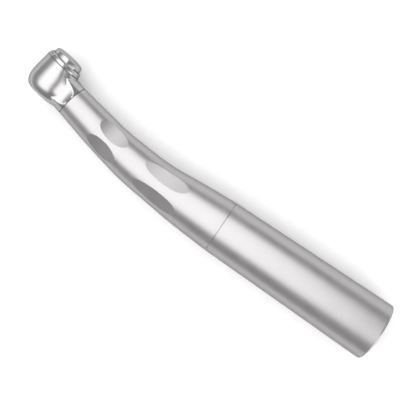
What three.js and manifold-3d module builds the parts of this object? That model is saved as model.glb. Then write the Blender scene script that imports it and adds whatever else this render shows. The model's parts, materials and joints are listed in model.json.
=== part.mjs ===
// High-speed dental air-turbine handpiece with a push-button chuck, in millimetres.
//
// Handle frame: X runs along the rear handle and points to the coupling end, Y points to the
// push-button side and Z is up. The handpiece lies on its side, so Z is across its plane of symmetry.
// "Station" is the distance along the centreline, measured forward from the rear face.
// Head frame: Z runs up the turbine axis to the button, X points back to the handle.
import * as THREE from "three";
import { mergeVertices } from "three/addons/utils/BufferGeometryUtils.js";
import Module from "manifold-3d";

const wasm = await Module();
wasm.setup();
const RAD = Math.PI / 180;
const TURN = 2 * Math.PI;

// ---- Handle ----
const REAR_RADIUS = 8.76;
const SEAM_RADIUS = 7.9;
const REAR_LENGTH = 52.4;
const NECK_SEAM = 106.7;
const NECK_SEAM_RADIUS = 4.88;
const SEAM_GAP = 0.14;
const EDGE_ROUND = 0.6;
const BEND_START = 67;
const BEND_LENGTH = 29;
const BEND_ANGLE = 13 * RAD;
const BEND_RADIUS = BEND_LENGTH / BEND_ANGLE;
const SLEEVE_WALL = 0.95;
// Outer surface of the front sleeve as [station, radius], waisted where the fingers rest.
const FRONT_PROFILE = [
  [REAR_LENGTH + SEAM_GAP, SEAM_RADIUS],
  [57, 7.64],
  [62, 7.33],
  [67, 6.93],
  [71, 6.53],
  [75, 6.25],
  [79.5, 6.09],
  [84, 5.93],
  [88, 5.66],
  [92, 5.46],
  [97, 5.33],
  [102, 5.1],
  [NECK_SEAM, NECK_SEAM_RADIUS],
];
// Finger facets, flat across and hollow along. Depth is below a line from end to end, taper its slope.
const FACETS = [
  { station: 72.4, length: 16.6, depth: 0.66, surface: 6.62, taper: 0.0675 },
  { station: 91.4, length: 10.8, depth: 0.6, surface: 5.6, taper: 0.046 },
];
const FACET_ANGLES = [60, 120, -60, -120]; // round the handle from the button side

// ---- Coupling socket ----
const SOCKET_START = 0.8;
const SOCKET_RADIUS = 7.15;
const SOCKET_FLOOR = 33;
const SOCKET_WALL_END = 37;
const SPIGOT_END = 57;
const SPIGOT_RADIUS = 6.5;
const SPIGOT_BORE = 5.3;
const O_RING_GROOVES = [44, 54];
const GROOVE = { depth: 0.5, width: 1 };
const BORE_RADII = [6.4, 5.6, 4.7];
const BORE_STEPS = [14, 24];
const RING_SEAT = { start: 3, end: 8, radius: 6.8 };
const EXHAUST_PORTS = { offset: 3, radius: 0.8 };
const FIT_GAP = 0.1;

// ---- Tubes, as the offset from the centreline and the radii ----
const DRIVE_AIR = { y: 2, z: 0, outer: 1.2, inner: 0.9 };
const WATER = { y: -2, z: 0.85, outer: 0.5, inner: 0.3 };
const CHIP_AIR = { y: -2, z: -0.85, outer: 0.5, inner: 0.3 };
const HEAD_EXHAUST = { y: -0.35, z: 0, radius: 0.85 };
const TUBE_START = 34.5;
const TUBE_END = 105.6;
const TUBE_GAP = 0.06;
const PLUG_START = 103.4;
const PLUG_RADIUS = 3.75;

// ---- Head, with heights above its bottom plane ----
const HEAD_STATION = 115.3;
const HEAD_LEAN = 10 * RAD;
const CROSSING_HEIGHT = 5.37;
const BARREL_RADIUS = 5.63;
const BARREL_TOP = 10.2;
const NOSE_FLAT_RADIUS = 3.1;
const NOSE_CORNER_HEIGHT = 4.4;
// The barrel's side above the rounded corner, as [radius, height].
const BARREL_SIDE = [
  [5.61, 6.2],
  [5.56, 7.4],
  [5.48, 8.8],
  [5.48, BARREL_TOP],
];
const NOSE_HOLE_RADIUS = 2.3;
const NOSE_FLOOR = 0.85;
const SEAT_RADIUS = 3.8;
const CHAMBER = { radius: 4.75, bottom: 3.9 };
const THREAD = { radius: 4.97, start: 8.3 };
// The barrel is round in front. Behind it is drawn out into the neck, less and less towards the top.
const BARREL_STRETCH = { most: 0.38, until: 8, gone: 9.8 };
// The neck is round at its seam and swells to an oval, with a hollow in each flank beside the barrel.
const NECK_OVAL = { length: 5.2, width: 6.1, height: 4.85, lift: 0.15, squareness: 2.5 };
const HOLLOW = { length: 2.4, floor: 4.1, flare: 0.035 };
// The spray nozzle sits in the underside of the neck and points at the tip of the bur.
const NOZZLE = { radius: 0.62, length: 1.5, x: 5.15, z: 0.75, lean: 24 * RAD, hole: 0.13, spread: 0.26 };

// ---- Back cap and push button ----
const CAP = { bottom: 10.36, shoulder: 11.3, top: 11.6, radius: 5.43, mouth: 4.68 };
const CAP_SIDE = { lean: 0.2, chamfer: 0.25 };
const CAP_FLOOR = 10.78;
const CAP_BOSS = { top: 11.5, radius: 3.35, ledge: 11.2, cavity: 2.9, bore: 1.5 };
const CAP_NOTCHES = { count: 6, start: 44 * RAD, floor: 4.95, width: 1.1, bottom: 10.8 };
const BUTTON = { top: 13.42, radius: 4.56, lean: 0.2, skirt: 4.16, underside: 12.84, bottom: 11.5 };
const BUTTON_GROOVE = { start: 11.62, end: 11.9, depth: 0.22 };
const POST = { radius: 1.35, bottom: 10.66, tip: 0.9 };
const CLIP = { inner: 1.2, outer: 1.85, bottom: 10.97, top: 11.09 };
const SPRING = { radius: 3.98, wire: 0.19, bottom: 10.81, top: 12.8, turns: 3 };

// ---- Turbine ----
const BEARING = { bore: 1.59, outer: 3.175, width: 2.38, pitch: 2.38, ball: 0.5, balls: 7 };
const RACE_SHOULDER = { inner: 2.04, outer: 2.72 };
const RACE_GROOVE = { clearance: 0.03, floor: 0.16, mouth: 0.42 };
const LOWER_BEARING = 1.2;
const UPPER_BEARING = 7.8;
const SPINDLE = { radius: 1.55, bottom: 0.35, top: 10.1, bore: 1.15 };
const SHANK_HOLE = 0.82;
const CAGE = { inner: 2.13, outer: 2.63, below: 0.75, above: 0.3, pocketGap: 0.07 };
const BEARING_O_RING = { radius: 3.49, section: 0.26 };
const WASHER = { inner: 2.6, outer: 3.5, gap: 0.05, thickness: 0.1, wave: 0.06, waves: 3 };
const PUSHER = { radius: 1.02, point: 0.45, stem: 0.75, cone: 7.72, flange: 8.3, shoulder: 9.3, top: 10.35 };
const IMPELLER = { bottom: 4.3, top: 7.4, hub: 2.35, web: 3.2, tip: 4.35, blades: 8 };
const COLLET = { bottom: 1.2, top: 7.2, radius: 1.08, bore: 0.81, slits: 3, slit: 0.22 };

// ---- Finishes ----
function metal(color, roughness) {
  return new THREE.MeshStandardMaterial({ color, roughness, metalness: 1 });
}

function nonMetal(color, roughness) {
  return new THREE.MeshStandardMaterial({ color, roughness, metalness: 0 });
}

const satinSteel = () => metal(0xc9c8c8, 0.42);
const polishedSteel = () => metal(0xd6d6d8, 0.18);
const brass = () => metal(0xc7a665, 0.3);
const rubber = () => nonMetal(0x2b2b2c, 0.8);
const cageResin = () => nonMetal(0xb98a55, 0.6);

// ---- Solids: three.js shapes joined and cut with manifold-3d ----
function solidOf(geometry) {
  const bare = new THREE.BufferGeometry();
  bare.setAttribute("position", geometry.getAttribute("position"));
  bare.setIndex(geometry.index);
  const merged = mergeVertices(bare, 1e-4);
  const vertProperties = new Float32Array(merged.getAttribute("position").array);
  const triVerts = new Uint32Array(merged.index.array);
  return new wasm.Manifold(new wasm.Mesh({ numProp: 3, vertProperties, triVerts }));
}

function geometryOf(solid) {
  const { vertProperties, triVerts, numProp, numVert } = solid.getMesh();
  const position = new Float32Array(numVert * 3);
  for (let i = 0; i < numVert; i++) {
    position.set(vertProperties.subarray(i * numProp, i * numProp + 3), i * 3);
  }
  const geometry = new THREE.BufferGeometry();
  geometry.setAttribute("position", new THREE.BufferAttribute(position, 3));
  geometry.setIndex(new THREE.BufferAttribute(triVerts, 1));
  return geometry;
}

function cut(geometry, ...cutters) {
  return geometryOf(cutters.reduce((left, cutter) => left.subtract(solidOf(cutter)), solidOf(geometry)));
}

function join(geometry, ...others) {
  return geometryOf(others.reduce((sum, other) => sum.add(solidOf(other)), solidOf(geometry)));
}

// Turns a profile of [radius, height] about Z. A profile that stays off the axis is closed on itself.
function revolve(profile, segments = 24) {
  const points = profile.map(([r, z]) => new THREE.Vector2(r, z));
  const closesItself = points[0].x !== 0 || points.at(-1).x !== 0;
  if (THREE.ShapeUtils.area(points) < 0) points.reverse();
  if (closesItself) points.push(points[0].clone());
  return new THREE.LatheGeometry(points, segments).rotateX(Math.PI / 2);
}

function tube(inner, outer, bottom, top, segments) {
  return revolve([[inner, bottom], [outer, bottom], [outer, top], [inner, top]], segments);
}

function rod(radius, bottom, top, segments) {
  return revolve([[0, bottom], [radius, bottom], [radius, top], [0, top]], segments);
}

function repeated(geometry, count, start = 0) {
  return Array.from({ length: count }, (_, i) => geometry.clone().rotateZ(start + (i * TURN) / count));
}

function oRing(radius, section, height) {
  return new THREE.TorusGeometry(radius, section, 6, 20).translate(0, 0, height);
}

function wireAlong(curve, wire, bore, steps, sides) {
  const section = new THREE.Shape().absarc(0, 0, wire, 0, TURN);
  if (bore) section.holes.push(new THREE.Path().absarc(0, 0, bore, 0, TURN, true));
  return new THREE.ExtrudeGeometry(section, { steps, curveSegments: sides / 2, extrudePath: curve });
}

// ---- Centreline: straight, one arc towards the button side, then straight to the head ----
function onCentreline(station, y, z) {
  const angle = THREE.MathUtils.clamp(station - BEND_START, 0, BEND_LENGTH) / BEND_RADIUS;
  const before = Math.min(station, BEND_START);
  const after = Math.max(station - BEND_START - BEND_LENGTH, 0);
  const centre = new THREE.Vector3(-before, 0, z);
  centre.x -= BEND_RADIUS * Math.sin(angle) + after * Math.cos(angle);
  centre.y += BEND_RADIUS * (1 - Math.cos(angle)) + after * Math.sin(angle);
  return centre.add(new THREE.Vector3(Math.sin(angle), Math.cos(angle), 0).multiplyScalar(y));
}

class Centreline extends THREE.Curve {
  constructor(start, end, y, z) {
    super();
    Object.assign(this, { start, end, y, z });
  }
  getPoint(t, target = new THREE.Vector3()) {
    return target.copy(onCentreline(THREE.MathUtils.lerp(this.start, this.end, t), this.y, this.z));
  }
}

// Turns a shape made about +Z so that its height becomes the station.
function alongHandle(geometry) {
  return geometry.rotateY(-Math.PI / 2);
}

function bend(geometry) {
  const position = geometry.getAttribute("position");
  for (let i = 0; i < position.count; i++) {
    const p = onCentreline(-position.getX(i), position.getY(i), position.getZ(i));
    position.setXYZ(i, p.x, p.y, p.z);
  }
  return geometry;
}

// ---- Sleeves ----
function rearSleeve() {
  const slope = (SEAM_RADIUS - REAR_RADIUS) / REAR_LENGTH;
  const [socketBore, spigotBore] = [SOCKET_RADIUS + FIT_GAP, SPIGOT_RADIUS + 0.35];
  const shoulder = SOCKET_WALL_END + 0.3;
  const profile = [[socketBore, 0]];
  for (let a = 0; a <= 90; a += 30) {
    const r = REAR_RADIUS - EDGE_ROUND * (1 - Math.sin(a * RAD));
    const station = EDGE_ROUND * (1 - Math.cos(a * RAD));
    profile.push([r + slope * station, station]);
  }
  profile.push([SEAM_RADIUS, REAR_LENGTH], [spigotBore, REAR_LENGTH]);
  profile.push([spigotBore, shoulder], [socketBore, shoulder]);
  return alongHandle(revolve(profile, 40));
}

// A drum with a large radius lies across the handle and mills one finger facet.
function facetCutter({ station, length, depth, surface, taper }, angle) {
  const radius = length ** 2 / (8 * depth);
  const width = 4 * Math.sqrt(2 * surface * depth);
  const sides = Math.round((TURN * radius) / 2.4);
  const drum = new THREE.CylinderGeometry(radius, radius, width, sides);
  drum.rotateX(Math.PI / 2).translate(-(station + radius * taper), surface - depth + radius, 0);
  return drum.rotateX(angle * RAD);
}

function frontSleeve() {
  const outside = FRONT_PROFILE.map(([station, r]) => [r, station]);
  const inside = FRONT_PROFILE.filter(([station]) => station > SPIGOT_END + 2 && station < PLUG_START);
  const bore = inside.filter((_, i) => i % 2 === 0).map(([station, r]) => [r - SLEEVE_WALL, station]);
  const spigotBore = SPIGOT_RADIUS + 0.3;
  const plugBore = PLUG_RADIUS + FIT_GAP;
  const profile = [
    ...outside,
    [plugBore, NECK_SEAM],
    [plugBore, PLUG_START - 0.2],
    ...bore.reverse(),
    [spigotBore - 0.5, SPIGOT_END + 1],
    [spigotBore, SPIGOT_END + 0.5],
    [spigotBore, REAR_LENGTH + SEAM_GAP],
  ];
  const cutters = FACETS.flatMap((facet) => FACET_ANGLES.map((angle) => facetCutter(facet, angle)));
  return bend(cut(alongHandle(revolve(profile, 28)), ...cutters));
}

// ---- Coupling socket and the tubes ----
function passage({ y, z }, radius, start, end) {
  return alongHandle(rod(radius, start, end, 8)).translate(0, y, z);
}

function couplingSocket() {
  const [mouth, middle, nose] = BORE_RADII;
  const [firstStep, secondStep] = BORE_STEPS;
  const grooveFloor = SPIGOT_RADIUS - GROOVE.depth;
  const grooves = O_RING_GROOVES.flatMap((station) => [
    [SPIGOT_RADIUS, station],
    [grooveFloor, station],
    [grooveFloor, station + GROOVE.width],
    [SPIGOT_RADIUS, station + GROOVE.width],
  ]);
  const outside = [
    [SOCKET_RADIUS, SOCKET_START],
    [SOCKET_RADIUS, SOCKET_WALL_END],
    [SPIGOT_RADIUS, SOCKET_WALL_END],
    ...grooves,
    [SPIGOT_RADIUS, SPIGOT_END],
  ];
  const frontBore = [
    [SPIGOT_BORE, SPIGOT_END],
    [SPIGOT_BORE, SOCKET_WALL_END],
    [0, SOCKET_WALL_END],
  ];
  const steppedBore = [
    [0, SOCKET_FLOOR],
    [nose, SOCKET_FLOOR],
    [nose, secondStep],
    [middle, secondStep],
    [middle, firstStep],
    [mouth, firstStep],
    [mouth, RING_SEAT.end],
    [RING_SEAT.radius, RING_SEAT.end],
    [RING_SEAT.radius, RING_SEAT.start],
    [mouth, RING_SEAT.start],
    [mouth, SOCKET_START],
  ];
  const body = alongHandle(revolve([...outside, ...frontBore, ...steppedBore], 28));
  const tubeHoles = [DRIVE_AIR, WATER, CHIP_AIR].flatMap((pipe) => [
    passage(pipe, pipe.inner, SOCKET_FLOOR - 1, TUBE_START),
    passage(pipe, pipe.outer + TUBE_GAP, TUBE_START - 0.1, SOCKET_WALL_END + 1),
  ]);
  const exhaustHoles = [EXHAUST_PORTS.offset, -EXHAUST_PORTS.offset].map((z) =>
    passage({ y: 0, z }, EXHAUST_PORTS.radius, SOCKET_FLOOR - 1, SOCKET_WALL_END + 1),
  );
  return cut(body, ...tubeHoles, ...exhaustHoles);
}

function retentionRing() {
  const [bore, rim] = [BORE_RADII[0] - 0.15, RING_SEAT.radius - FIT_GAP];
  const [start, end] = [RING_SEAT.start + FIT_GAP, RING_SEAT.end - FIT_GAP];
  const middle = (start + end) / 2;
  const latch = [[bore, middle + 0.9], [bore + 0.35, middle + 0.4], [bore + 0.35, middle - 0.4]];
  const profile = [[bore, start], [rim, start], [rim, end], [bore, end], ...latch, [bore, middle - 0.9]];
  return alongHandle(revolve(profile, 28));
}

function sleeveORing(groove) {
  return alongHandle(oRing(SPIGOT_RADIUS - 0.11, 0.33, groove + GROOVE.width / 2));
}

function handleTube({ y, z, outer, inner }) {
  return wireAlong(new Centreline(TUBE_START, TUBE_END, y, z), outer, inner, 12, 8);
}

// ---- Head shell: barrel and neck in one piece ----
const headUp = new THREE.Vector3(Math.sin(HEAD_LEAN), Math.cos(HEAD_LEAN), 0);
const headBack = new THREE.Vector3(Math.cos(HEAD_LEAN), -Math.sin(HEAD_LEAN), 0);
const headSide = new THREE.Vector3().crossVectors(headUp, headBack);
const headMatrix = new THREE.Matrix4().makeBasis(headBack, headSide, headUp);
headMatrix.setPosition(onCentreline(HEAD_STATION, 0, 0).addScaledVector(headUp, -CROSSING_HEIGHT));

function barrel() {
  const profile = [[0, 0]];
  for (let a = 0; a <= 90; a += 15) {
    const r = NOSE_FLAT_RADIUS + (BARREL_RADIUS - NOSE_FLAT_RADIUS) * Math.sin(a * RAD);
    profile.push([r, NOSE_CORNER_HEIGHT * (1 - Math.cos(a * RAD))]);
  }
  const drum = revolve([...profile, ...BARREL_SIDE, [0, BARREL_TOP]], 32);
  const position = drum.getAttribute("position");
  const { most, until, gone } = BARREL_STRETCH;
  for (let i = 0; i < position.count; i++) {
    if (position.getX(i) <= 0) continue;
    const fade = THREE.MathUtils.clamp((gone - position.getZ(i)) / (gone - until), 0, 1);
    position.setX(i, position.getX(i) * (1 + most * fade));
  }
  return drum;
}

function neck() {
  const sides = 32;
  const start = NECK_SEAM + SEAM_GAP;
  const hollowSteps = [0, 0.25, 0.5, 0.75, 1].map((share) => share * HOLLOW.length);
  const middle = (HOLLOW.length + NECK_OVAL.length) / 2;
  const stations = [...hollowSteps, middle, NECK_OVAL.length, HEAD_STATION - start];
  const rings = stations.map((along) => {
    const swell = Math.min(along / NECK_OVAL.length, 1);
    const sink = 1 - (1 - Math.min(along / HOLLOW.length, 1)) ** 2;
    const width = THREE.MathUtils.lerp(NECK_SEAM_RADIUS, NECK_OVAL.width, swell);
    const height = THREE.MathUtils.lerp(NECK_SEAM_RADIUS, NECK_OVAL.height, swell);
    const floor = THREE.MathUtils.lerp(NECK_SEAM_RADIUS, HOLLOW.floor, sink);
    return Array.from({ length: sides }, (_, i) => {
      const angle = (i * TURN) / sides;
      const rise = height * Math.sin(angle);
      const squareness = rise > 0 ? THREE.MathUtils.lerp(2, NECK_OVAL.squareness, swell) : 2;
      const across = width * (1 - Math.abs(Math.sin(angle)) ** squareness) ** (1 / squareness);
      const flank = floor + HOLLOW.flare * sink * rise ** 2;
      const z = Math.sign(Math.cos(angle)) * Math.min(across, flank);
      return new THREE.Vector3(-(start + along), rise + NECK_OVAL.lift * swell, z);
    });
  });
  return bend(loft(rings));
}

// Skins a stack of closed rings, each with the same number of points, and caps both ends.
function loft(rings) {
  const sides = rings[0].length;
  const points = rings.flat();
  const ends = [rings[0], rings.at(-1)].map((ring) =>
    ring.reduce((sum, p) => sum.add(p), new THREE.Vector3()).divideScalar(sides),
  );
  const [firstCentre, lastCentre] = [points.length, points.length + 1];
  const lastRing = (rings.length - 1) * sides;
  const index = [];
  for (let side = 0; side < sides; side++) {
    const next = (side + 1) % sides;
    for (let ring = 0; ring < lastRing; ring += sides) {
      const [a, b, c, d] = [ring + side, ring + next, ring + sides + next, ring + sides + side];
      index.push(a, b, c, a, c, d);
    }
    index.push(firstCentre, next, side, lastCentre, lastRing + side, lastRing + next);
  }
  const geometry = new THREE.BufferGeometry().setFromPoints([...points, ...ends]);
  return geometry.setIndex(index);
}

function headCavity() {
  const { radius, bottom } = CHAMBER;
  const outside = BARREL_RADIUS + 0.3;
  return revolve(
    [
      [0, -1],
      [NOSE_HOLE_RADIUS, -1],
      [NOSE_HOLE_RADIUS, NOSE_FLOOR],
      [SEAT_RADIUS, NOSE_FLOOR],
      [SEAT_RADIUS, bottom],
      [radius, bottom + 0.2],
      [radius, THREAD.start],
      [THREAD.radius, THREAD.start],
      [THREAD.radius, BARREL_TOP],
      [outside, BARREL_TOP],
      [outside, BARREL_TOP + 3],
      [0, BARREL_TOP + 3],
    ],
    28,
  );
}

function headShell() {
  const plug = bend(alongHandle(rod(PLUG_RADIUS, PLUG_START, NECK_SEAM + 1, 24)));
  const chamberWall = HEAD_STATION - CHAMBER.radius + 0.8;
  const passages = [
    passage(HEAD_EXHAUST, HEAD_EXHAUST.radius, PLUG_START - 1, chamberWall),
    passage(DRIVE_AIR, DRIVE_AIR.inner, TUBE_END, chamberWall),
    passage(WATER, WATER.inner, TUBE_END, HEAD_STATION - 5.8),
    passage(CHIP_AIR, CHIP_AIR.inner, TUBE_END, HEAD_STATION - 5.8),
  ];
  for (const pipe of [DRIVE_AIR, WATER, CHIP_AIR]) {
    passages.push(passage(pipe, pipe.outer + TUBE_GAP, PLUG_START - 1, TUBE_END + 0.2));
  }
  const body = join(barrel().applyMatrix4(headMatrix), neck(), plug);
  const pocket = nozzlePlaced(rod(NOZZLE.radius + 0.08, -2, NOZZLE.length + 0.8, 12));
  return cut(
    body,
    headCavity().applyMatrix4(headMatrix),
    pocket.applyMatrix4(headMatrix),
    ...passages.map(bend),
  );
}

function nozzlePlaced(geometry) {
  return geometry.rotateY(NOZZLE.lean).translate(NOZZLE.x, 0, NOZZLE.z);
}

function sprayNozzle() {
  const holes = [-NOZZLE.spread, NOZZLE.spread].map((y) => rod(NOZZLE.hole, -1, 1, 6).translate(0, y, 0));
  return nozzlePlaced(cut(rod(NOZZLE.radius, 0, NOZZLE.length, 12), ...holes));
}

// ---- Back cap, push button, its clip and its spring ----
function backCap() {
  const skirt = THREAD.radius - FIT_GAP;
  const body = revolve(
    [
      [SEAT_RADIUS, UPPER_BEARING],
      [skirt, UPPER_BEARING + 0.6],
      [skirt, CAP.bottom],
      [CAP.radius, CAP.bottom],
      [CAP.radius - CAP_SIDE.lean, CAP.shoulder],
      [CAP.radius - CAP_SIDE.lean - CAP_SIDE.chamfer, CAP.top],
      [CAP.mouth, CAP.top],
      [CAP.mouth, CAP_FLOOR],
      [CAP_BOSS.radius, CAP_FLOOR],
      [CAP_BOSS.radius, CAP_BOSS.top],
      [CAP_BOSS.bore, CAP_BOSS.top],
      [CAP_BOSS.bore, CAP_BOSS.ledge],
      [CAP_BOSS.cavity, CAP_BOSS.ledge],
      [CAP_BOSS.cavity, CAP.bottom],
      [SEAT_RADIUS, CAP.bottom],
    ],
    32,
  );
  const { count, start, floor, width, bottom } = CAP_NOTCHES;
  const notch = new THREE.BoxGeometry(1, width, 2).translate(floor + 0.5, 0, bottom + 1);
  return cut(body, ...repeated(notch, count, start));
}

function pushButton() {
  const neckRadius = CLIP.inner - 0.05;
  const post = [
    [0, POST.bottom],
    [POST.tip, POST.bottom],
    [POST.radius, POST.bottom + 0.24],
    [neckRadius, CLIP.bottom - 0.03],
    [neckRadius, CLIP.top + 0.03],
    [POST.radius, CLIP.top + 0.07],
    [POST.radius, BUTTON.underside],
  ];
  const cap = [
    [BUTTON.skirt, BUTTON.underside],
    [BUTTON.skirt, BUTTON.bottom],
    [BUTTON.radius, BUTTON.bottom],
    [BUTTON.radius, BUTTON_GROOVE.start],
    [BUTTON.radius - BUTTON_GROOVE.depth, BUTTON_GROOVE.start],
    [BUTTON.radius - BUTTON_GROOVE.depth, BUTTON_GROOVE.end],
    [BUTTON.radius, BUTTON_GROOVE.end],
    [BUTTON.radius - BUTTON.lean, BUTTON.top - 0.62],
    [BUTTON.radius - 0.36, BUTTON.top - 0.36],
    [BUTTON.radius - 0.62, BUTTON.top - 0.17],
    [BUTTON.radius - 1.05, BUTTON.top - 0.08],
    [0, BUTTON.top],
  ];
  return revolve([...post, ...cap], 28);
}

function buttonClip() {
  const ring = tube(CLIP.inner, CLIP.outer, CLIP.bottom, CLIP.top, 20);
  const mouth = new THREE.BoxGeometry(1.4, 0.9, 1).translate(1.5, 0, CLIP.bottom);
  return cut(ring, mouth);
}

class Helix extends THREE.Curve {
  getPoint(t, target = new THREE.Vector3()) {
    const angle = t * SPRING.turns * TURN;
    const height = THREE.MathUtils.lerp(SPRING.bottom + SPRING.wire, SPRING.top - SPRING.wire, t);
    return target.set(SPRING.radius * Math.cos(angle), SPRING.radius * Math.sin(angle), height);
  }
}

function buttonSpring() {
  return wireAlong(new Helix(), SPRING.wire, 0, 36, 6);
}

// ---- Turbine ----
function spindle() {
  const { radius, bottom, top, bore } = SPINDLE;
  const profile = [
    [SHANK_HOLE, bottom],
    [radius - 0.15, bottom],
    [radius, bottom + 0.2],
    [radius, top],
    [bore, top],
    [bore, COLLET.bottom - 0.2],
    [SHANK_HOLE, COLLET.bottom - 0.3],
  ];
  return revolve(profile, 20);
}

function impeller() {
  const { bottom, top, hub, web, tip, blades } = IMPELLER;
  const middle = (bottom + top) / 2;
  const hubRing = tube(SPINDLE.radius + 0.04, hub, bottom, top, 20);
  const webRing = tube(hub - 0.2, web, middle - 0.2, middle + 0.2, 20);
  const scoop = new THREE.Shape();
  scoop.moveTo(hub - 0.3, -0.22);
  scoop.quadraticCurveTo(web + 0.1, 0.35, tip, -0.25);
  scoop.lineTo(tip, 0.1);
  scoop.quadraticCurveTo(web + 0.1, 0.8, hub - 0.3, 0.22);
  const options = { depth: top - bottom, bevelEnabled: false, curveSegments: 2 };
  const blade = new THREE.ExtrudeGeometry(scoop, options);
  return join(hubRing, webRing, ...repeated(blade.translate(0, 0, bottom), blades));
}

function chuckCollet() {
  const { bottom, top, radius, bore, slits, slit } = COLLET;
  const sleeve = revolve([[bore, bottom], [radius, bottom], [radius, top], [bore, top - 0.3]], 18);
  const slitCutter = new THREE.BoxGeometry(1.2, slit, 4.2).translate(0.9, 0, bottom + 1.7);
  return cut(sleeve, ...repeated(slitCutter, slits, 5 * RAD));
}

function chuckPusher() {
  const { radius, point, stem, cone, flange, shoulder, top } = PUSHER;
  const body = [
    [0, cone],
    [point, cone],
    [radius, flange],
    [radius, shoulder],
    [stem, shoulder + 0.1],
    [stem, top],
    [0, top],
  ];
  return revolve(body, 12);
}

// A race is a ring with a shallow groove on the side that faces the balls.
function race(wall, shoulder, groove, bottom) {
  const top = bottom + BEARING.width;
  const middle = (bottom + top) / 2;
  const ballSide = [
    [shoulder, middle + RACE_GROOVE.mouth],
    [groove, middle + RACE_GROOVE.floor],
    [groove, middle - RACE_GROOVE.floor],
    [shoulder, middle - RACE_GROOVE.mouth],
  ];
  return revolve([[shoulder, bottom], [wall, bottom], [wall, top], [shoulder, top], ...ballSide], 24);
}

function outerRace(bottom) {
  const groove = BEARING.pitch + BEARING.ball + RACE_GROOVE.clearance;
  return race(BEARING.outer, RACE_SHOULDER.outer, groove, bottom);
}

function innerRace(bottom) {
  const groove = BEARING.pitch - BEARING.ball - RACE_GROOVE.clearance;
  return race(BEARING.bore, RACE_SHOULDER.inner, groove, bottom);
}

function ballCage(bottom) {
  const middle = bottom + BEARING.width / 2;
  const crown = tube(CAGE.inner, CAGE.outer, middle - CAGE.below, middle + CAGE.above, 21);
  const pocket = rod(BEARING.ball + CAGE.pocketGap, CAGE.inner - 0.13, CAGE.outer + 0.17, 8);
  pocket.rotateY(Math.PI / 2).translate(0, 0, middle);
  return cut(crown, ...repeated(pocket, BEARING.balls));
}

function bearingBall(index, bottom) {
  const ball = new THREE.SphereGeometry(BEARING.ball, 8, 5);
  ball.translate(BEARING.pitch, 0, bottom + BEARING.width / 2);
  return ball.rotateZ((index * TURN) / BEARING.balls);
}

function bearingORing(bottom) {
  return oRing(BEARING_O_RING.radius, BEARING_O_RING.section, bottom + BEARING.width / 2);
}

// A flat ring lifted into waves.
function preloadWasher() {
  const { inner, outer, gap, thickness, wave, waves } = WASHER;
  const bottom = NOSE_FLOOR + gap;
  const blank = tube(inner, outer, bottom, bottom + thickness, 24);
  const position = blank.getAttribute("position");
  for (let i = 0; i < position.count; i++) {
    const angle = Math.atan2(position.getY(i), position.getX(i));
    position.setZ(i, position.getZ(i) + wave * (1 + Math.cos(waves * angle)));
  }
  return blank;
}

// ---- Assembly ----
function mesh(name, geometry, material) {
  const made = new THREE.Mesh(geometry, material);
  made.name = name;
  return made;
}

function handleParts() {
  const group = new THREE.Group();
  group.add(mesh("rear_sleeve", rearSleeve(), satinSteel()));
  group.add(mesh("front_sleeve", frontSleeve(), satinSteel()));
  group.add(mesh("head_shell", headShell(), satinSteel()));
  group.add(mesh("coupling_socket", couplingSocket(), brass()));
  group.add(mesh("retention_ring", retentionRing(), polishedSteel()));
  group.add(mesh("rear_sleeve_o_ring", sleeveORing(O_RING_GROOVES[0]), rubber()));
  group.add(mesh("front_sleeve_o_ring", sleeveORing(O_RING_GROOVES[1]), rubber()));
  group.add(mesh("drive_air_tube", handleTube(DRIVE_AIR), polishedSteel()));
  group.add(mesh("water_tube", handleTube(WATER), polishedSteel()));
  group.add(mesh("chip_air_tube", handleTube(CHIP_AIR), polishedSteel()));
  return group;
}

function bearingParts(where, bottom) {
  const group = new THREE.Group();
  group.add(mesh(`${where}_outer_race`, outerRace(bottom), polishedSteel()));
  group.add(mesh(`${where}_inner_race`, innerRace(bottom), polishedSteel()));
  group.add(mesh(`${where}_ball_cage`, ballCage(bottom), cageResin()));
  group.add(mesh(`${where}_o_ring`, bearingORing(bottom), rubber()));
  for (let i = 0; i < BEARING.balls; i++) {
    group.add(mesh(`${where}_ball_${i + 1}`, bearingBall(i, bottom), polishedSteel()));
  }
  return group;
}

function headParts() {
  const group = new THREE.Group();
  group.add(mesh("spray_nozzle", sprayNozzle(), polishedSteel()));
  group.add(mesh("back_cap", backCap(), polishedSteel()));
  group.add(mesh("push_button", pushButton(), satinSteel()));
  group.add(mesh("button_clip", buttonClip(), polishedSteel()));
  group.add(mesh("button_spring", buttonSpring(), polishedSteel()));
  group.add(mesh("spindle", spindle(), polishedSteel()));
  group.add(mesh("impeller", impeller(), satinSteel()));
  group.add(mesh("chuck_collet", chuckCollet(), polishedSteel()));
  group.add(mesh("chuck_pusher", chuckPusher(), polishedSteel()));
  group.add(mesh("preload_washer", preloadWasher(), polishedSteel()));
  group.add(bearingParts("upper", UPPER_BEARING), bearingParts("lower", LOWER_BEARING));
  group.applyMatrix4(headMatrix);
  return group;
}

const handpiece = new THREE.Group();
handpiece.add(handleParts(), headParts());

// The origin is under the middle of the bounding box, on the surface that the handpiece lies on.
const box = new THREE.Box3().setFromObject(handpiece, true);
const middle = box.getCenter(new THREE.Vector3());
handpiece.position.set(-middle.x, -middle.y, -box.min.z);

export default handpiece;
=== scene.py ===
"""Looks of the dental turbine handpiece: fine smooth casings, satin and polished steel, studio light."""

import json
import math

import bmesh
import bpy
from mathutils import Matrix, Vector


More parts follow.
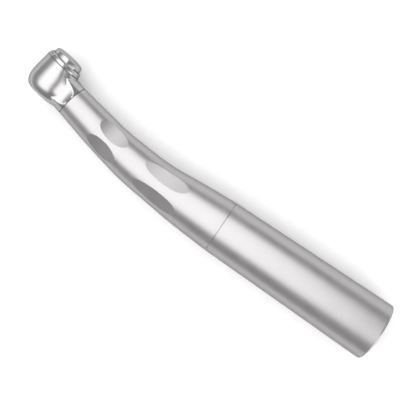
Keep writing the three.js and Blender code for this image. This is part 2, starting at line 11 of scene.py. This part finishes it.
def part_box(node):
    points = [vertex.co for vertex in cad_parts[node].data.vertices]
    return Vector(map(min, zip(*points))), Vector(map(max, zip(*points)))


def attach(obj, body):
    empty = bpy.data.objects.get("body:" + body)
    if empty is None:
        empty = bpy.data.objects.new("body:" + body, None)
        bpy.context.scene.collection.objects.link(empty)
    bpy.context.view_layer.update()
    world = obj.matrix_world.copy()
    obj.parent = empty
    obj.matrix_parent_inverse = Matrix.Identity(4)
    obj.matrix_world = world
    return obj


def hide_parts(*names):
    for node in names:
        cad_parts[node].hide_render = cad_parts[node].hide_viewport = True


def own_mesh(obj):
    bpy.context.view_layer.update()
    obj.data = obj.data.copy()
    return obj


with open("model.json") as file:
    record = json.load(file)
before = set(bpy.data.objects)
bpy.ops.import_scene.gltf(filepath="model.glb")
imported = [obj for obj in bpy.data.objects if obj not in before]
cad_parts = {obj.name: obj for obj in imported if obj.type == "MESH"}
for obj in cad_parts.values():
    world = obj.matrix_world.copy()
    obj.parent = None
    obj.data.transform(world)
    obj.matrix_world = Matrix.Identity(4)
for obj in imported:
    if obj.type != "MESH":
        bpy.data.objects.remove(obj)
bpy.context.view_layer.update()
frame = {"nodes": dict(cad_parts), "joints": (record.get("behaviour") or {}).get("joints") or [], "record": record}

MM = 0.001

# ---- Handle, from the frame ----
# Stations are distances from the rear face, measured along the bent centreline.
rear_low, rear_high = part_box("rear_sleeve")
REAR_X = rear_high.x
AXIS_Y = (rear_low.y + rear_high.y) / 2
AXIS_Z = (rear_low.z + rear_high.z) / 2
REAR_RADIUS = (rear_high.z - rear_low.z) / 2
REAR_LENGTH = rear_high.x - rear_low.x
SEAM_RADIUS = 7.9 * MM
SEAM_GAP = 0.14 * MM
# The sleeves meet on a lip just inside their seam, so that nothing is seen through the gap.
REGISTER_RADIUS = 7.4 * MM
REGISTER_LENGTH = 0.6 * MM
SEAM_EDGE = 0.07 * MM
NECK_SEAM = 106.7 * MM
NECK_SEAM_RADIUS = 4.88 * MM
BEND_START = 67 * MM
BEND_LENGTH = 29 * MM
BEND_ANGLE = math.radians(13)
BEND_RADIUS = BEND_LENGTH / BEND_ANGLE
PLUG_START = 103.4 * MM
PLUG_RADIUS = 3.75 * MM

# Outer surface of the front sleeve as (station, radius) in millimetres.
FRONT_PROFILE = [
    (52.54, 7.9),
    (57, 7.64),
    (62, 7.33),
    (67, 6.93),
    (71, 6.53),
    (75, 6.25),
    (79.5, 6.09),
    (84, 5.93),
    (88, 5.66),
    (92, 5.46),
    (97, 5.33),
    (102, 5.1),
    (106.7, 4.88),
]
# Finger facets in millimetres. Depth is below a line from end to end, and taper is that line's slope.
FACETS = [
    {"station": 72.4, "length": 16.6, "depth": 0.66, "surface": 6.62, "taper": 0.0675},
    {"station": 91.4, "length": 10.8, "depth": 0.6, "surface": 5.6, "taper": 0.046},
]
FACET_ANGLES = [60, 120, -60, -120]
FACET_STEP = 0.4 * MM


# ---- Head, from the joints ----
def joint_named(name):
    return next(joint for joint in frame["joints"] if joint["name"] == name)


spin = joint_named("rotor_spin")
HEAD_UP = Vector(spin["axis"]).normalized()
HEAD_SIDE = Vector((0, 0, -1))
HEAD_BACK = HEAD_SIDE.cross(HEAD_UP)
NOSE_BELOW_JOINT = 5 * MM
HEAD_ORIGIN = Vector(spin["pos_m"]) - HEAD_UP * NOSE_BELOW_JOINT
HEAD_MATRIX = Matrix(
    (
        (HEAD_BACK.x, HEAD_SIDE.x, HEAD_UP.x, HEAD_ORIGIN.x),
        (HEAD_BACK.y, HEAD_SIDE.y, HEAD_UP.y, HEAD_ORIGIN.y),
        (HEAD_BACK.z, HEAD_SIDE.z, HEAD_UP.z, HEAD_ORIGIN.z),
        (0, 0, 0, 1),
    )
)
HEAD_STATION = 115.3 * MM
# The head's pieces, in millimetres from its axis and above its nose.
BARREL_RADIUS = 5.63
BARREL_TOP = 10.2
CHAMBER_RADIUS = 4.75
COLLAR_RADIUS = 4.87
COLLAR_BOTTOM = 8.6
CAP_BOTTOM = 10.36
CAP_TOP = 11.6
CAP_RADIUS = 5.43
CAP_MOUTH = 4.68
NOTCHES = 6
NOTCH_START = math.radians(44)
NOTCH_SIZE = (1.2, 1.1, 2.4)
NOTCH_PLACE = (5.6, 0, 12.0)
BUTTON_TOP = 13.42
BUTTON_BOTTOM = 11.5
BUTTON_RADIUS = 4.56
SPRING_BOTTOM = 10.81
SPRING_TOP = 12.8
NOZZLE_PLACE = (5.15, 0, 0.75)
NOZZLE_LEAN = math.radians(24)
NOZZLE_HOLE = 0.7
# The barrel's draw towards the neck, as a share: whole up to the first height, gone at the second.
BARREL_STRETCH = {"most": 0.38, "until": 8, "gone": 9.8}
# The neck is round at its seam and swells to an oval, with a hollow in each flank beside the barrel.
NECK_SWELL = 5.2 * MM
NECK_OVAL = (6.1 * MM, 4.85 * MM)
NECK_LIFT = 0.15 * MM
NECK_SQUARENESS = 2.5
HOLLOW_LENGTH = 2.4 * MM
HOLLOW_FLOOR = 4.1 * MM
HOLLOW_FLARE = 0.035 / MM


# ---- Centreline ----
def on_centreline(station, y, z):
    """The point at a station, offset towards the button side by y and upwards by z."""
    angle = min(max(station - BEND_START, 0), BEND_LENGTH) / BEND_RADIUS
    before = min(station, BEND_START)
    after = max(station - BEND_START - BEND_LENGTH, 0)
    x = -before - BEND_RADIUS * math.sin(angle) - after * math.cos(angle)
    rise = BEND_RADIUS * (1 - math.cos(angle)) + after * math.sin(angle)
    return Vector(
        (
            REAR_X + x + y * math.sin(angle),
            AXIS_Y + rise + y * math.cos(angle),
            AXIS_Z + z,
        )
    )


def handle_place(point):
    """A shape made about Z, in metres, laid along the centreline: its height becomes the station."""
    return on_centreline(point.z, point.y, point.x)


def head_place(point):
    """A shape made about Z, in millimetres, moved into the head's frame."""
    return HEAD_MATRIX @ (point * MM)


# ---- Mesh helpers ----
def rounded(profile, sizes, steps=5):
    """A profile with its corners replaced by arcs. sizes gives a corner's index its radius."""
    points = []
    for i, corner in enumerate(profile):
        here = Vector(corner)
        if i not in sizes:
            points.append(here)
            continue
        before = (Vector(profile[i - 1]) - here).normalized()
        after = (Vector(profile[(i + 1) % len(profile)]) - here).normalized()
        half = before.angle(after) / 2
        reach = sizes[i] / math.tan(half)
        start, end = here + before * reach, here + after * reach
        for step in range(steps + 1):
            t = step / steps
            points.append((1 - t) ** 2 * start + 2 * t * (1 - t) * here + t**2 * end)
    return points


def smooth_curve(points, steps):
    """Points of a Catmull-Rom curve through the given ones."""
    ends = [points[0], *points, points[-1]]
    curve = []
    for a, b, c, d in zip(ends, ends[1:], ends[2:], ends[3:]):
        for step in range(steps):
            t = step / steps
            x = b[0] + (c[0] - b[0]) * t
            y = 0.5 * (
                2 * b[1]
                + (c[1] - a[1]) * t
                + (2 * a[1] - 5 * b[1] + 4 * c[1] - d[1]) * t**2
                + (3 * b[1] - a[1] - 3 * c[1] + d[1]) * t**3
            )
            curve.append((x, y))
    curve.append(points[-1])
    return curve


def new_object(name, builder, sharp=30):
    """A mesh object from a bmesh, with outward faces, smooth between edges sharper than the angle."""
    builder.normal_update()
    bmesh.ops.recalc_face_normals(builder, faces=builder.faces)
    mesh = bpy.data.meshes.new(name)
    builder.to_mesh(mesh)
    builder.free()
    shade(mesh, sharp)
    made = bpy.data.objects.new(name, mesh)
    bpy.context.scene.collection.objects.link(made)
    return made


def shade(mesh, sharp):
    for polygon in mesh.polygons:
        polygon.use_smooth = True
    mesh.set_sharp_from_angle(angle=math.radians(sharp))


def turned(name, profile, place, sides=128, sharp=30):
    """Turns a profile of (radius, height) about Z. One that leaves the axis closes on itself."""
    builder = bmesh.new()
    rings = []
    for radius, height in profile:
        if radius == 0:
            rings.append([builder.verts.new(place(Vector((0, 0, height))))] * sides)
            continue
        ring = []
        for side in range(sides):
            angle = 2 * math.pi * side / sides
            point = Vector((radius * math.cos(angle), radius * math.sin(angle), height))
            ring.append(builder.verts.new(place(point)))
        rings.append(ring)
    if profile[0][0] != 0:
        rings.append(rings[0])
    for lower, upper in zip(rings, rings[1:]):
        for side in range(sides):
            after = (side + 1) % sides
            corners = [lower[side], lower[after], upper[after], upper[side]]
            unique = list(dict.fromkeys(corners))
            if len(unique) > 2:
                builder.faces.new(unique)
    return new_object(name, builder, sharp)


def skin(builder, rings):
    """Joins a row of rings, each with the same number of vertices, and closes both ends."""
    sides = len(rings[0])
    for lower, upper in zip(rings, rings[1:]):
        for side in range(sides):
            after = (side + 1) % sides
            builder.faces.new([lower[side], lower[after], upper[after], upper[side]])
    builder.faces.new(rings[0])
    builder.faces.new(rings[-1])


def combine(target, others, operation, sharp):
    """Cuts the other objects from the target, or joins them to it, and deletes them."""
    for other in others:
        modifier = target.modifiers.new(operation, "BOOLEAN")
        modifier.operation = operation
        modifier.solver = "MANIFOLD"
        modifier.object = other
    graph = bpy.context.evaluated_depsgraph_get()
    result = bpy.data.meshes.new_from_object(target.evaluated_get(graph))
    target.modifiers.clear()
    target.data = result
    for other in others:
        bpy.data.objects.remove(other)
    shade(result, sharp)
    return target


def drum(name, radius, width, sides):
    """A solid cylinder along X, centred on the origin."""
    builder = bmesh.new()
    turn = Matrix.Rotation(math.radians(90), 4, "Y")
    bmesh.ops.create_cone(
        builder, cap_ends=True, segments=sides, radius1=radius, radius2=radius, depth=width, matrix=turn
    )
    return new_object(name, builder)


# ---- Sleeves ----
def make_rear_sleeve():
    edge, inner_edge = 0.6 * MM, 0.15 * MM
    bore, spigot_bore = 7.25 * MM, 6.85 * MM
    shoulder = 37.3 * MM
    profile = [
        (bore, 0),
        (REAR_RADIUS, 0),
        (SEAM_RADIUS, REAR_LENGTH),
        (REGISTER_RADIUS + 0.05 * MM, REAR_LENGTH),
        (REGISTER_RADIUS + 0.05 * MM, REAR_LENGTH - REGISTER_LENGTH),
        (spigot_bore, REAR_LENGTH - REGISTER_LENGTH),
        (spigot_bore, shoulder),
        (bore, shoulder),
    ]
    corners = {0: inner_edge, 1: edge, 2: SEAM_EDGE}
    return turned("rear_sleeve_fine", rounded(profile, corners, 8), handle_place, 192)


def facet_cutter(facet, angle):
    """A wide drum that mills one facet, in the straight handle's own frame."""
    depth, surface = facet["depth"] * MM, facet["surface"] * MM
    radius = (facet["length"] * MM) ** 2 / (8 * depth)
    width = 4 * math.sqrt(2 * surface * depth)
    cutter = drum("facet_cutter", radius, width, round(2 * math.pi * radius / FACET_STEP))
    lift = Vector((0, surface - depth + radius, facet["station"] * MM + radius * facet["taper"]))
    turn = Matrix.Rotation(math.radians(angle), 4, "Z")
    cutter.data.transform(turn @ Matrix.Translation(lift))
    return cutter


def make_front_sleeve():
    outside = [(r * MM, s * MM) for s, r in smooth_curve(FRONT_PROFILE, 8)]
    spigot_bore, plug_bore, bore = 6.8 * MM, PLUG_RADIUS + 0.1 * MM, 4.6 * MM
    inside = [
        (plug_bore, NECK_SEAM),
        (plug_bore, PLUG_START),
        (bore, 90 * MM),
        (spigot_bore - 1.3 * MM, 72 * MM),
        (spigot_bore, 58 * MM),
        (spigot_bore, outside[0][1] - REGISTER_LENGTH),
        (REGISTER_RADIUS, outside[0][1] - REGISTER_LENGTH),
        (REGISTER_RADIUS, outside[0][1]),
    ]
    last = len(outside) - 1
    profile = rounded(outside + inside, {0: SEAM_EDGE, last: SEAM_EDGE}, 4)
    sleeve = turned("front_sleeve_fine", profile, lambda point: point, 192)
    cutters = [facet_cutter(facet, angle) for facet in FACETS for angle in FACET_ANGLES]
    combine(sleeve, cutters, "DIFFERENCE", sharp=6)
    for vertex in sleeve.data.vertices:
        vertex.co = handle_place(vertex.co)
    return sleeve


# ---- Head ----
def stretched(point):
    """The barrel is round in front and drawn out into the neck at the back."""
    until, gone = BARREL_STRETCH["until"], BARREL_STRETCH["gone"]
    if point.x > 0:
        fade = min(max((gone - point.z) / (gone - until), 0), 1)
        point = Vector((point.x * (1 + BARREL_STRETCH["most"] * fade), point.y, point.z))
    return head_place(point)


def barrel_profile():
    flat, corner = 3.1, 4.4
    profile = [(0, 0)]
    for step in range(19):
        angle = math.radians(step * 5)
        r = flat + (BARREL_RADIUS - flat) * math.sin(angle)
        profile.append((r, corner * (1 - math.cos(angle))))
    top_radius = CAP_RADIUS + 0.05
    profile += [(BARREL_RADIUS - 0.02, 6.2), (BARREL_RADIUS - 0.07, 7.4), (top_radius, 8.8)]
    profile += [(top_radius, BARREL_TOP - 0.05), (top_radius - 0.05, BARREL_TOP), (0, BARREL_TOP)]
    return profile


def neck_ring(along, sides):
    """The neck's outline at a distance past its seam."""
    swell = min(along / NECK_SWELL, 1)
    sink = 1 - (1 - min(along / HOLLOW_LENGTH, 1)) ** 2
    width, height = (NECK_SEAM_RADIUS + (half - NECK_SEAM_RADIUS) * swell for half in NECK_OVAL)
    floor = NECK_SEAM_RADIUS + (HOLLOW_FLOOR - NECK_SEAM_RADIUS) * sink
    points = []
    for side in range(sides):
        angle = 2 * math.pi * side / sides
        rise = height * math.sin(angle)
        squareness = 2 + (NECK_SQUARENESS - 2) * swell if rise > 0 else 2
        across = width * (1 - abs(math.sin(angle)) ** squareness) ** (1 / squareness)
        flank = floor + HOLLOW_FLARE * sink * rise**2
        z = math.copysign(min(across, flank), math.cos(angle))
        points.append(on_centreline(NECK_SEAM + SEAM_GAP + along, rise + NECK_LIFT * swell, z))
    return points


def make_neck():
    sides, steps = 128, 24
    builder = bmesh.new()
    length = HEAD_STATION - NECK_SEAM - SEAM_GAP
    rings = []
    for step in range(steps + 1):
        rings.append([builder.verts.new(point) for point in neck_ring(length * step / steps, sides)])
    skin(builder, rings)
    return new_object("neck", builder)


def head_cavity():
    """What is cut from the barrel: the nose's bore, the bearing's seat, the chamber and the cap's bore."""
    cap_bore = COLLAR_RADIUS + 0.1
    outside = BARREL_RADIUS + 0.3
    profile = [
        (0, -1),
        (2.45, -1),
        (2.45, 0),
        (2.3, 0.15),
        (2.3, 0.85),
        (3.8, 0.85),
        (3.8, 3.9),
        (CHAMBER_RADIUS, 4.1),
        (CHAMBER_RADIUS, 8.3),
        (cap_bore, 8.3),
        (cap_bore, BARREL_TOP),
        (outside, BARREL_TOP),
        (outside, BARREL_TOP + 3),
        (0, BARREL_TOP + 3),
    ]
    return turned("head_cavity", profile, head_place, 96)


def make_head_shell():
    barrel = turned("head_shell_fine", barrel_profile(), stretched, 160)
    plug_end = NECK_SEAM + MM
    plug_profile = [(0, PLUG_START), (PLUG_RADIUS, PLUG_START), (PLUG_RADIUS, plug_end), (0, plug_end)]
    plug = turned("plug", plug_profile, handle_place, 96)
    combine(barrel, [make_neck(), plug], "UNION", sharp=24)
    hole_profile = [(0, -2), (NOZZLE_HOLE, -2), (NOZZLE_HOLE, 2.3), (0, 2.3)]
    nozzle_hole = turned("nozzle_hole", hole_profile, nozzle_place, 48)
    return combine(barrel, [head_cavity(), nozzle_hole], "DIFFERENCE", sharp=24)


def nozzle_place(point):
    """A shape made about Z, in millimetres, leaned and moved to where the spray nozzle sits."""
    lean = Matrix.Rotation(NOZZLE_LEAN, 4, "Y")
    return head_place(lean @ point + Vector(NOZZLE_PLACE))


def make_back_cap():
    """A leaning ring on a collar that fits the barrel, with a relief groove and a guide for the button."""
    relief, bearing_seat, guide, step = 4.5, 3.8, 1.5, 3.35
    spring_seat = SPRING_BOTTOM - 0.03
    profile = [
        (COLLAR_RADIUS, COLLAR_BOTTOM),
        (COLLAR_RADIUS, BARREL_TOP - 0.1),
        (relief, BARREL_TOP + 0.08),
        (COLLAR_RADIUS, CAP_BOTTOM),
        (CAP_RADIUS, CAP_BOTTOM),
        (CAP_RADIUS - 0.2, CAP_TOP - 0.3),
        (CAP_RADIUS - 0.45, CAP_TOP),
        (CAP_MOUTH, CAP_TOP),
        (CAP_MOUTH, spring_seat),
        (step, spring_seat),
        (step, 11.5),
        (guide, 11.5),
        (guide, 11.2),
        (2.9, 11.2),
        (2.9, CAP_BOTTOM),
        (bearing_seat, CAP_BOTTOM),
        (bearing_seat, COLLAR_BOTTOM),
    ]
    corners = {4: 0.06, 5: 0.1, 6: 0.1, 7: 0.04}
    cap = turned("back_cap_fine", rounded(profile, corners, 5), head_place, 160)
    return combine(cap, [cap_notch(index) for index in range(NOTCHES)], "DIFFERENCE", sharp=24)


def cap_notch(index):
    """A narrow slot across the cap's rim for the spanner that screws it in."""
    builder = bmesh.new()
    size = Matrix.Diagonal((*NOTCH_SIZE, 1))
    turn = Matrix.Rotation(NOTCH_START + index * 2 * math.pi / NOTCHES, 4, "Z")
    bmesh.ops.create_cube(builder, size=1, matrix=turn @ Matrix.Translation(NOTCH_PLACE) @ size)
    for vertex in builder.verts:
        vertex.co = head_place(vertex.co)
    return new_object("cap_notch", builder)


def make_push_button():
    """A skirted, grooved button whose post is necked for its clip. The post's tip clears the spindle."""
    post, post_bottom, clip_neck = 1.35, 10.66, 1.15
    skirt, underside = 4.16, 12.84
    groove = BUTTON_RADIUS - 0.22
    profile = [
        (0, post_bottom),
        (0.8, post_bottom),
        (1.03, 10.8),
        (1.3, 10.9),
        (clip_neck, 10.94),
        (clip_neck, 11.12),
        (post, 11.16),
        (post, underside),
        (skirt, underside),
        (skirt, BUTTON_BOTTOM),
        (BUTTON_RADIUS, BUTTON_BOTTOM),
        (BUTTON_RADIUS, 11.62),
        (groove, 11.66),
        (groove, 11.86),
        (BUTTON_RADIUS, 11.9),
        (BUTTON_RADIUS - 0.22, BUTTON_TOP - 0.42),
        (BUTTON_RADIUS - 0.98, BUTTON_TOP - 0.08),
        (0, BUTTON_TOP),
    ]
    corners = {14: 0.06, 15: 0.42, 16: 0.5}
    return turned("push_button_fine", rounded(profile, corners, 10), head_place, 128)


def make_button_spring():
    """Round wire coiled between the cap's floor and the button, which flattens it when pressed."""
    coil_radius, wire, turns = 3.92, 0.19, 3
    steps, sides = 144, 12
    builder = bmesh.new()
    rings = []
    for step in range(steps + 1):
        t = step / steps
        around = 2 * math.pi * turns * t
        outward = Vector((math.cos(around), math.sin(around), 0))
        height = SPRING_BOTTOM + wire + (SPRING_TOP - SPRING_BOTTOM - 2 * wire) * t
        ring = []
        for side in range(sides):
            angle = 2 * math.pi * side / sides
            point = outward * (coil_radius + wire * math.cos(angle))
            point.z = height + wire * math.sin(angle)
            ring.append(builder.verts.new(head_place(point)))
        rings.append(ring)
    skin(builder, rings)
    return new_object("button_spring_fine", builder)


def squash_spring(spring):
    """Gives the spring a mesh of its own. The real spring shortens by as much as the button travels, but nothing
    here shortens it.
    """
    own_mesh(spring)


# ---- Coupling end ----
def make_coupling_socket():
    """A bore in three steps, with a seat for the retention ring, a ported floor and a spigot in front."""
    outside, spigot, spigot_bore, mouth, middle, deepest = 7.15, 6.5, 5.3, 6.4, 5.6, 4.7
    rear, floor, front, spigot_end = 0.8, 33, 37, 57
    profile = [
        (0, floor),
        (deepest, floor),
        (deepest, 24.3),
        (deepest + 0.3, 24),
        (middle, 24),
        (middle, 14.3),
        (middle + 0.3, 14),
        (mouth, 14),
        (mouth, 8),
        (mouth + 0.4, 8),
        (mouth + 0.4, 3),
        (mouth, 3),
        (mouth, rear + 0.4),
        (mouth + 0.3, rear),
        (outside, rear),
        (outside, front),
        (spigot, front),
        (spigot, spigot_end),
        (spigot_bore, spigot_end),
        (spigot_bore, front),
        (0, front),
    ]
    socket = turned("coupling_socket_fine", [(r * MM, z * MM) for r, z in profile], handle_place, 128)
    holes = [(2, 0, 0.9), (-2, 0.85, 0.3), (-2, -0.85, 0.3), (0, 3, 0.8), (0, -3, 0.8)]
    return combine(socket, [port(*hole) for hole in holes], "DIFFERENCE", sharp=24)


def port(y, z, radius):
    """A drilled passage through the socket's floor, placed and sized in millimetres."""
    profile = [(0, 32 * MM), (radius * MM, 32 * MM), (radius * MM, 38 * MM), (0, 38 * MM)]
    return turned("port", profile, lambda p: handle_place(p + Vector((z * MM, y * MM, 0))), 32)


def make_retention_ring():
    bore, rim, start, end = 6.25, 6.7, 3.1, 7.9
    middle = (start + end) / 2
    floor = bore + 0.35
    latch = [(bore, middle + 0.9), (floor, middle + 0.4), (floor, middle - 0.4), (bore, middle - 0.9)]
    profile = [(bore, start), (rim, start), (rim, end), (bore, end), *latch]
    return turned("retention_ring_fine", [(r * MM, z * MM) for r, z in profile], handle_place, 128)


# ---- Materials ----
EDGE_TINT = (0.45, 0.45, 0.45, 1)


class Nodes:
    """Adds and links shader nodes."""

    def __init__(self, owner):
        owner.use_nodes = True
        self.tree = owner.node_tree

    def add(self, kind, **inputs):
        node = self.tree.nodes.new(kind)
        for socket, value in inputs.items():
            self.feed(node.inputs[socket.replace("_", " ")], value)
        return node

    def feed(self, socket, value):
        if isinstance(value, bpy.types.NodeSocket):
            self.tree.links.new(value, socket)
        else:
            socket.default_value = value

    def noise(self, scale_mm, detail=2.0, stretch=(1, 1, 1)):
        """Noise whose features are about scale_mm across, longer where stretch is large."""
        mapping = self.add("ShaderNodeMapping")
        coordinates = self.add("ShaderNodeTexCoord")
        self.feed(mapping.inputs["Vector"], coordinates.outputs["Object"])
        per_metre = 1 / (scale_mm * MM)
        mapping.inputs["Scale"].default_value = [per_metre / s for s in stretch]
        texture = self.add("ShaderNodeTexNoise", Detail=detail)
        texture.inputs["Scale"].default_value = 1
        self.feed(texture.inputs["Vector"], mapping.outputs["Vector"])
        return texture.outputs["Fac"]

    def spread(self, value, low, high):
        """A 0 to 1 value stretched over a range."""
        node = self.add("ShaderNodeMapRange")
        self.feed(node.inputs["Value"], value)
        node.inputs["From Min"].default_value = 0.3
        node.inputs["From Max"].default_value = 0.7
        node.inputs["To Min"].default_value = low
        node.inputs["To Max"].default_value = high
        return node.outputs["Result"]

    def math(self, operation, first, second):
        node = self.add("ShaderNodeMath")
        node.operation = operation
        self.feed(node.inputs[0], first)
        self.feed(node.inputs[1], second)
        return node.outputs[0]

    def bump(self, height, distance_mm, strength, under=None):
        node = self.add("ShaderNodeBump")
        self.feed(node.inputs["Height"], height)
        node.inputs["Distance"].default_value = distance_mm * MM
        node.inputs["Strength"].default_value = strength
        if under:
            self.feed(node.inputs["Normal"], under)
        return node.outputs["Normal"]


def mottled(name, dark, light, metallic, roughness, grain, relief, stretch=(1, 1, 1)):
    """A surface with mottled colour, uneven roughness and fine grain, duller where it turns edge-on."""
    material = bpy.data.materials.new(name)
    nodes = Nodes(material)
    shader = nodes.tree.nodes["Principled BSDF"]
    cloud = nodes.noise(3.0, 3)
    fine = nodes.noise(grain, 2, stretch)
    mixed = nodes.add("ShaderNodeMix")
    mixed.inputs["Factor"].default_value = 0.5
    nodes.feed(mixed.inputs["A"], cloud)
    nodes.feed(mixed.inputs["B"], fine)
    colour = nodes.add("ShaderNodeMix")
    colour.data_type = "RGBA"
    nodes.feed(colour.inputs["Factor"], nodes.spread(mixed.outputs["Result"], 0, 1))
    # A Mix node's colour sockets come after its number and vector ones, which have the same names.
    first_colour, second_colour, mixed_colour = colour.inputs[6], colour.inputs[7], colour.outputs[2]
    first_colour.default_value = (*dark, 1)
    second_colour.default_value = (*light, 1)
    nodes.feed(shader.inputs["Base Color"], mixed_colour)
    low, high = roughness
    nodes.feed(shader.inputs["Roughness"], nodes.spread(mixed.outputs["Result"], low, high))
    shader.inputs["Metallic"].default_value = metallic
    shader.inputs["Specular Tint"].default_value = EDGE_TINT
    broad = nodes.bump(cloud, 0.02, 0.15)
    nodes.feed(shader.inputs["Normal"], nodes.bump(fine, relief, 0.5, broad))
    return material


def satin_steel():
    return mottled("satin_steel", (0.39, 0.38, 0.385), (0.44, 0.43, 0.435), 1, (0.32, 0.38), 0.2, 0.006)


def smooth_steel():
    return mottled("smooth_steel", (0.395, 0.388, 0.39), (0.44, 0.433, 0.436), 1, (0.2, 0.26), 0.12, 0.002)


def polished_steel():
    return mottled("polished_steel", (0.41, 0.41, 0.41), (0.46, 0.46, 0.46), 1, (0.1, 0.17), 0.2, 0.0008)


def button_steel():
    return mottled("button_steel", (0.4, 0.395, 0.395), (0.45, 0.445, 0.44), 1, (0.14, 0.22), 0.12, 0.001)


def impeller_metal():
    return mottled("impeller_metal", (0.6, 0.61, 0.63), (0.7, 0.71, 0.73), 1, (0.25, 0.35), 0.1, 0.002)


def brass():
    return mottled("brass", (0.5, 0.38, 0.17), (0.62, 0.49, 0.25), 1, (0.18, 0.3), 0.12, 0.002, (8, 8, 1))


def rubber():
    return mottled("rubber", (0.012, 0.012, 0.013), (0.03, 0.03, 0.03), 0, (0.55, 0.75), 0.15, 0.01)


def cage_resin():
    return mottled("cage_resin", (0.28, 0.15, 0.06), (0.42, 0.24, 0.1), 0, (0.4, 0.55), 0.2, 0.005)


def finish_frame(materials):
    """Gives every CAD node the material of its slot."""
    slots = {part["node"]: part["material_slot"] for part in frame["record"]["subparts"]}
    for name, node in frame["nodes"].items():
        node.data.materials.clear()
        node.data.materials.append(materials[slots[name]])
    return slots


def stand_for(piece, node, slots, materials):
    """The piece takes over from a CAD node: its body, its slot and its finish."""
    body = next(name for name, nodes in frame["record"]["behaviour"]["bodies"].items() if node in nodes)
    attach(piece, body)
    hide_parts(node)
    piece.data.materials.clear()
    piece.data.materials.append(materials[slots[node]])
    return piece


# ---- Studio ----
WINDOW_LIGHT = 2.05
WALL_LIGHT = 0.45
FAR_WALL_LIGHT = 0.12
CAMERA_DISTANCE = 280 * MM
CAMERA_LEAN = math.radians(6)
CAMERA_LENS = 86.0


def make_floor():
    builder = bmesh.new()
    bmesh.ops.create_grid(builder, x_segments=8, y_segments=8, size=1.5)
    floor = new_object("floor", builder)
    paper = mottled("floor", (0.9, 0.9, 0.9), (0.93, 0.93, 0.93), 0, (0.6, 0.8), 4.0, 0.02)
    floor.data.materials.append(paper)


def window(nodes, angle, low, high):
    """1 where an angle lies between two soft edges, given as (degrees, softness), and 0 outside."""
    sides = []
    for (edge, soft), (start, end) in ((low, (0, 1)), (high, (1, 0))):
        step = nodes.add("ShaderNodeMapRange")
        step.interpolation_type = "SMOOTHSTEP"
        nodes.feed(step.inputs["Value"], angle)
        step.inputs["From Min"].default_value = math.radians(edge - soft)
        step.inputs["From Max"].default_value = math.radians(edge + soft)
        step.inputs["To Min"].default_value = start
        step.inputs["To Max"].default_value = end
        sides.append(step.outputs["Result"])
    return nodes.math("MULTIPLY", *sides)


def make_studio():
    """A wide softbox overhead, a side one past a narrow gap, and dim walls. Angles are from straight up."""
    world = bpy.data.worlds.new("studio")
    nodes = Nodes(world)
    direction = nodes.add("ShaderNodeTexCoord").outputs["Generated"]
    split = nodes.add("ShaderNodeSeparateXYZ", Vector=direction)
    x, y, z = split.outputs
    lean_x, lean_y = nodes.math("ARCTAN2", x, z), nodes.math("ARCTAN2", y, z)
    heading = nodes.math("ARCTAN2", y, x)
    overhead_width = window(nodes, lean_x, (-42, 20), (13, 5))
    overhead_height = window(nodes, lean_y, (-42, 9), (60, 14))
    overhead = nodes.math("MULTIPLY", overhead_width, overhead_height)
    side_width = window(nodes, lean_x, (29, 5), (86, 3))
    side_height = window(nodes, heading, (-40, 10), (3, 7))
    side = nodes.math("MULTIPLY", side_width, side_height)
    lit = nodes.math("MULTIPLY", nodes.math("ADD", overhead, side), WINDOW_LIGHT)
    far_wall = nodes.math("MULTIPLY", window(nodes, lean_x, (-110, 10), (-42, 15)), FAR_WALL_LIGHT)
    walls = nodes.math("ADD", far_wall, WALL_LIGHT)
    background = world.node_tree.nodes["Background"]
    nodes.feed(background.inputs["Strength"], nodes.math("ADD", lit, walls))
    background.inputs["Color"].default_value = (1, 1, 1, 1)
    bpy.context.scene.world = world
    bpy.context.scene.view_settings.view_transform = "Standard"


def make_camera():
    """Above the handpiece, leaning a little to the button side, with the rear handle low on the right."""
    camera = bpy.data.cameras.new("camera")
    camera.lens = CAMERA_LENS
    camera.clip_start = 0.01
    holder = bpy.data.objects.new("camera", camera)
    target = on_centreline(57.5 * MM, 2.15 * MM, 0)
    back = Vector((0, math.sin(CAMERA_LEAN), math.cos(CAMERA_LEAN)))
    upwards = Vector((-0.5606, 0.828, 0))
    up = (upwards - back * upwards.dot(back)).normalized()
    right = up.cross(back)
    turn = Matrix((right, up, back)).transposed().to_4x4()
    holder.matrix_world = Matrix.Translation(target + back * CAMERA_DISTANCE) @ turn
    bpy.context.scene.collection.objects.link(holder)
    bpy.context.scene.camera = holder


# ---- The scene ----
materials = {
    "satin_steel": satin_steel(),
    "smooth_steel": smooth_steel(),
    "polished_steel": polished_steel(),
    "button_steel": button_steel(),
    "impeller_metal": impeller_metal(),
    "brass": brass(),
    "rubber": rubber(),
    "cage_resin": cage_resin(),
}
slots = finish_frame(materials)
stand_for(make_rear_sleeve(), "rear_sleeve", slots, materials)
stand_for(make_front_sleeve(), "front_sleeve", slots, materials)
stand_for(make_head_shell(), "head_shell", slots, materials)
stand_for(make_back_cap(), "back_cap", slots, materials)
stand_for(make_push_button(), "push_button", slots, materials)
squash_spring(stand_for(make_button_spring(), "button_spring", slots, materials))
stand_for(make_coupling_socket(), "coupling_socket", slots, materials)
stand_for(make_retention_ring(), "retention_ring", slots, materials)
make_floor()
make_studio()
make_camera()
